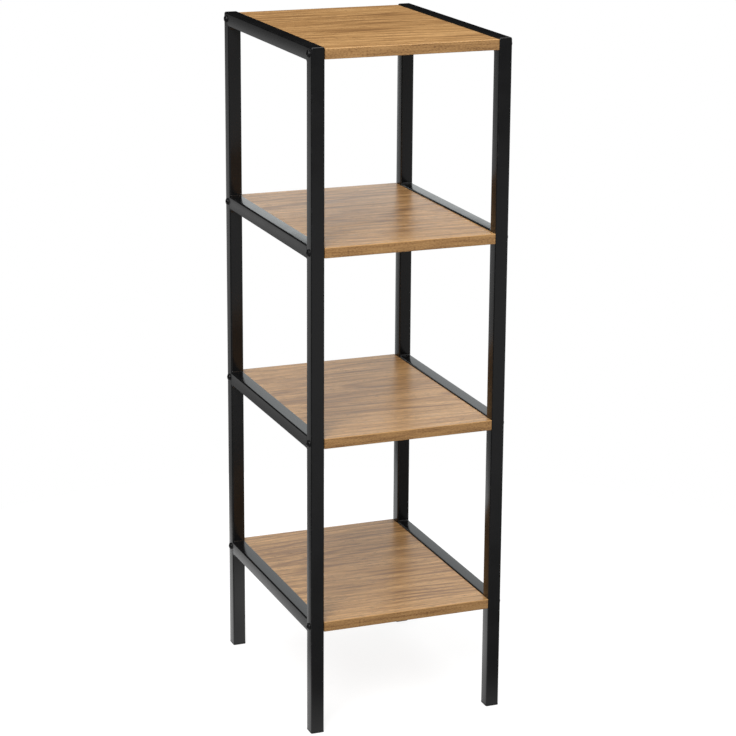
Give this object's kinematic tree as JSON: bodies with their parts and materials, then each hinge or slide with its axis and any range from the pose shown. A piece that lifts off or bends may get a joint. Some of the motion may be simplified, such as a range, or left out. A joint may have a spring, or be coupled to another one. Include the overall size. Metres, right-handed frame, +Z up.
{
  "type": "bathroom shelf",
  "caption": "Slim free-standing tiered shelf: wooden boards bolted between two black square-tube side frames.",
  "frame": {"origin": "middle of the footprint, on the floor", "axes": "+X along the width to the right, +Y to the back, +Z up"},
  "size_m": [0.3068, 0.38, 1.01],
  "materials": {
    "black_steel": "satin black powder coat",
    "black_bolt": "black oxide",
    "zinc_steel": "zinc plated",
    "oak_laminate": "oak grain melamine, satin",
    "oak_edge_band": "oak grain edge band, satin",
    "black_plastic": "moulded"
  },
  "bodies": {
    "root": {"upright_front_left": "black_steel", "foot_plug_front_left": "black_plastic", "upright_front_right": "black_steel", "foot_plug_front_right": "black_plastic", "upright_back_left": "black_steel", "foot_plug_back_left": "black_plastic", "upright_back_right": "black_steel", "foot_plug_back_right": "black_plastic", "shelf_board_top": "oak_laminate", "edge_band_front_top": "oak_edge_band", "edge_band_back_top": "oak_edge_band", "side_rail_left_top": "black_steel", "bolt_left_front_top": "black_bolt", "barrel_nut_left_front_top": "zinc_steel", "bolt_left_back_top": "black_bolt", "barrel_nut_left_back_top": "zinc_steel", "side_rail_right_top": "black_steel", "bolt_right_front_top": "black_bolt", "barrel_nut_right_front_top": "zinc_steel", "bolt_right_back_top": "black_bolt", "barrel_nut_right_back_top": "zinc_steel", "shelf_board_upper": "oak_laminate", "edge_band_front_upper": "oak_edge_band", "edge_band_back_upper": "oak_edge_band", "side_rail_left_upper": "black_steel", "bolt_left_front_upper": "black_bolt", "barrel_nut_left_front_upper": "zinc_steel", "bolt_left_back_upper": "black_bolt", "barrel_nut_left_back_upper": "zinc_steel", "side_rail_right_upper": "black_steel", "bolt_right_front_upper": "black_bolt", "barrel_nut_right_front_upper": "zinc_steel", "bolt_right_back_upper": "black_bolt", "barrel_nut_right_back_upper": "zinc_steel", "shelf_board_lower": "oak_laminate", "edge_band_front_lower": "oak_edge_band", "edge_band_back_lower": "oak_edge_band", "side_rail_left_lower": "black_steel", "bolt_left_front_lower": "black_bolt", "barrel_nut_left_front_lower": "zinc_steel", "bolt_left_back_lower": "black_bolt", "barrel_nut_left_back_lower": "zinc_steel", "side_rail_right_lower": "black_steel", "bolt_right_front_lower": "black_bolt", "barrel_nut_right_front_lower": "zinc_steel", "bolt_right_back_lower": "black_bolt", "barrel_nut_right_back_lower": "zinc_steel", "shelf_board_bottom": "oak_laminate", "edge_band_front_bottom": "oak_edge_band", "edge_band_back_bottom": "oak_edge_band", "side_rail_left_bottom": "black_steel", "bolt_left_front_bottom": "black_bolt", "barrel_nut_left_front_bottom": "zinc_steel", "bolt_left_back_bottom": "black_bolt", "barrel_nut_left_back_bottom": "zinc_steel", "side_rail_right_bottom": "black_steel", "bolt_right_front_bottom": "black_bolt", "barrel_nut_right_front_bottom": "zinc_steel", "bolt_right_back_bottom": "black_bolt", "barrel_nut_right_back_bottom": "zinc_steel"}
  },
  "joints": []
}
